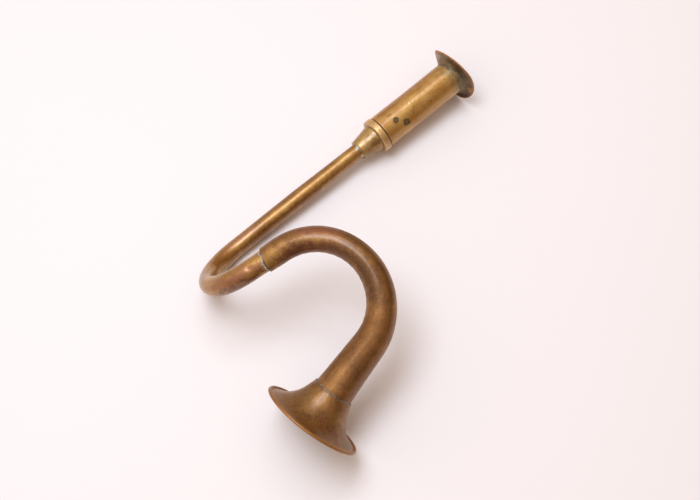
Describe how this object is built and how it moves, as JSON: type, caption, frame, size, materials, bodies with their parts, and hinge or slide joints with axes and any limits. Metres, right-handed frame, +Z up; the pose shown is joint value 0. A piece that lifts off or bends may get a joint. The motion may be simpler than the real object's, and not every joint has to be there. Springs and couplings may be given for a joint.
{
  "type": "stethoscope",
  "caption": "Rigid one-eared brass stethoscope: a flared chest bell on a bent, tapering sound tube, with a straight barrel and a dished ear disc that unscrew.",
  "frame": {"origin": "centre of the bounding box's bottom face, on the surface that the part lies on", "axes": "+Z up from the surface; +X along the straight tube's plan direction, towards the ear disc; +Y to the straight tube's side, away from the chest bell"},
  "size_m": [0.1672, 0.1212, 0.0542],
  "materials": {
    "polished_brass": "worn polish, lightly tarnished",
    "aged_brass": "satin, tarnished with copper-pink blotches",
    "brown_brass": "brown patina, satin",
    "solder": "dull grey soft solder",
    "steel_wire": "drawn wire, hidden in the rolled edge",
    "leather_washer": "oiled, pressed leather"
  },
  "bodies": {
    "sound_tube": {"chest_bell": "brown_brass", "rim_wire": "steel_wire", "bell_seam_solder": "solder", "gooseneck_tube": "brown_brass", "lap_joint_solder": "solder", "bent_tube": "aged_brass", "ferrule_solder": "solder", "ferrule": "polished_brass", "collar_ring": "polished_brass", "threaded_spigot": "polished_brass"},
    "washer": {"sealing_washer": "leather_washer"},
    "earpiece": {"barrel": "polished_brass", "threaded_bush": "polished_brass", "ear_disc": "aged_brass", "ear_disc_solder": "solder"}
  },
  "joints": [
    {"name": "earpiece_travel", "type": "slide", "parent": "sound_tube", "child": "washer", "axis": [0.9976, 0, 0.0698], "range_m": [0, 0.00587]},
    {"name": "earpiece_turn", "type": "hinge", "parent": "washer", "child": "earpiece", "pos_m": [0.03766, 0.04748, 0.00994], "axis": [0.9976, 0, 0.0698], "range_deg": [0, 2160]}
  ],
  "couplings": [
    {"joint": "earpiece_travel", "follows": "earpiece_turn", "m_per_rad": 0.00015549}
  ]
}
